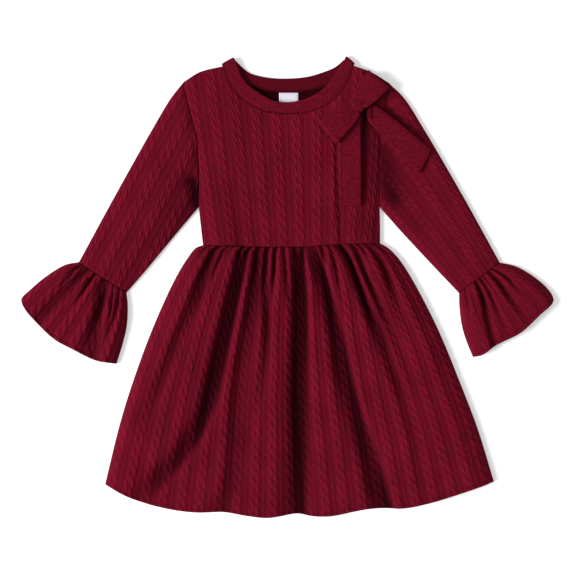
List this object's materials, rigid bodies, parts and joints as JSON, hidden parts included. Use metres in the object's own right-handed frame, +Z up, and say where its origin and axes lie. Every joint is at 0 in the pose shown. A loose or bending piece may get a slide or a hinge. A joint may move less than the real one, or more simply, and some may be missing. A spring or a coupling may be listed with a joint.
{
  "type": "toddler party dress",
  "caption": "Long-sleeved toddler party dress in wine-red cable knit, laid flat, with a gathered skirt, flared ruffle cuffs, a plain neckband and a bow with hanging tails at the shoulder.",
  "frame": {"origin": "Middle of the box that the dress fills, on the surface that it lies on.", "axes": "+X runs across the dress from sleeve to sleeve, +Y from hem to neck, +Z up from the surface, out of the front of the dress."},
  "size_m": [0.665, 0.5759, 0.0195],
  "materials": {
    "cable_knit": "soft cable knit with a dry, slightly fuzzy face",
    "plain_knit": "smooth fine knit, slightly brushed",
    "label_fabric": "smooth woven satin label, blank"
  },
  "bodies": {
    "root": {"front_skirt": "cable_knit", "back_skirt": "cable_knit", "front_bodice": "cable_knit", "back_bodice": "cable_knit", "sleeve_left": "cable_knit", "sleeve_right": "cable_knit", "cuff_ruffle_left": "cable_knit", "cuff_ruffle_right": "cable_knit", "neckband": "plain_knit", "bow_loop_upper": "plain_knit", "bow_loop_lower": "plain_knit", "bow_knot": "plain_knit", "bow_tail_long": "plain_knit", "bow_tail_short": "plain_knit", "neck_label": "label_fabric"}
  },
  "joints": []
}
